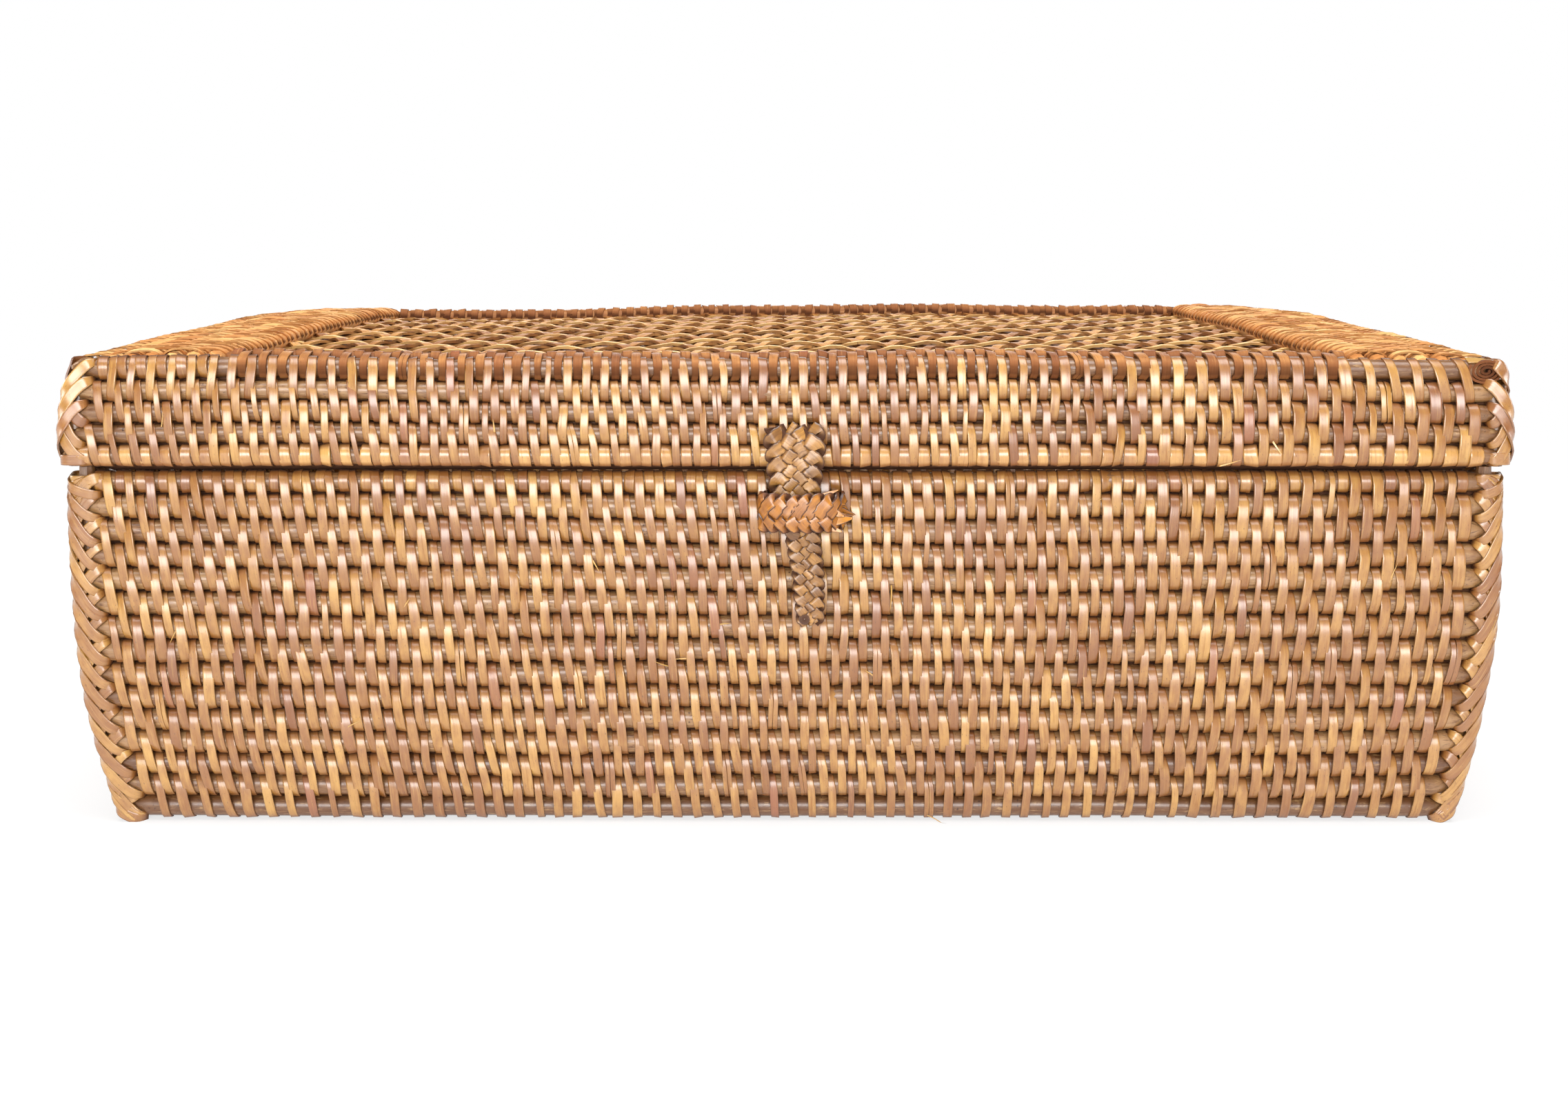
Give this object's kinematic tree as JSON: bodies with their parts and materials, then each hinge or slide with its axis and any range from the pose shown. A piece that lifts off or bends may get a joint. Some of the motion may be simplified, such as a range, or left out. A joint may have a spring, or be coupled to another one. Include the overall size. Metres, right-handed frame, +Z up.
{
  "type": "lidded rattan box",
  "caption": "Low rectangular rattan box of sewn cane rods, with an openwork lid hinged on cane loops at the back and a braided tongue held by a loop in front.",
  "frame": {"origin": "on the ground under the middle of the box, at the underside of the middle floor rod", "axes": "+Z up, +X to the right seen from the front, +Y from the front with the clasp to the back with the hinges"},
  "size_m": [0.3604, 0.2557, 0.1211],
  "materials": {
    "cane_rod": "satin",
    "cane_rim": "gloss",
    "cane_binding": "gloss",
    "cane_openwork": "satin",
    "cane_braid": "satin"
  },
  "bodies": {
    "box": {"body_floor": "cane_rod", "body_lashing_back_left": "cane_binding", "body_lashing_back_right": "cane_binding", "body_lashing_front_left": "cane_binding", "body_lashing_front_right": "cane_binding", "body_rim_back": "cane_rim", "body_rim_front": "cane_rim", "body_rim_left": "cane_rim", "body_rim_right": "cane_rim", "body_wall_back": "cane_rod", "body_wall_front": "cane_rod", "body_wall_left": "cane_rod", "body_wall_right": "cane_rod", "clasp_keeper": "cane_braid"},
    "hinge_loops": {"hinge_loop_left": "cane_binding", "hinge_loop_right": "cane_binding"},
    "lid": {"clasp_tab": "cane_braid", "lid_band_left": "cane_rod", "lid_band_right": "cane_rod", "lid_edge_back": "cane_rim", "lid_edge_front": "cane_rim", "lid_edge_left": "cane_rim", "lid_edge_right": "cane_rim", "lid_lashing_back_left": "cane_binding", "lid_lashing_back_right": "cane_binding", "lid_lashing_front_left": "cane_binding", "lid_lashing_front_right": "cane_binding", "lid_openwork": "cane_openwork", "lid_rim_back": "cane_rim", "lid_rim_front": "cane_rim", "lid_rim_left": "cane_rim", "lid_rim_right": "cane_rim", "lid_skirt_back": "cane_rod", "lid_skirt_front": "cane_rod", "lid_skirt_left": "cane_rod", "lid_skirt_right": "cane_rod", "lid_top_rod_back": "cane_rod", "lid_top_rod_front": "cane_rod"},
    "tongue": {"clasp_tongue": "cane_braid"}
  },
  "joints": [
    {"name": "loop_swing", "type": "hinge", "parent": "box", "child": "hinge_loops", "pos_m": [0, 0.1195, 0.08938], "axis": [-1, 0, 0], "range_deg": [0, 55]},
    {"name": "lid_swing", "type": "hinge", "parent": "hinge_loops", "child": "lid", "pos_m": [0, 0.1214, 0.09568], "axis": [-1, 0, 0], "range_deg": [0, 55]},
    {"name": "tongue_flex", "type": "hinge", "parent": "lid", "child": "tongue", "pos_m": [0.003, -0.1255, 0.09268], "axis": [-1, 0, 0], "range_deg": [0, 8], "stiffness_Nm_per_rad": 0.05}
  ],
  "couplings": [
    {"joint": "loop_swing", "follows": "lid_swing", "ratio": 1}
  ]
}
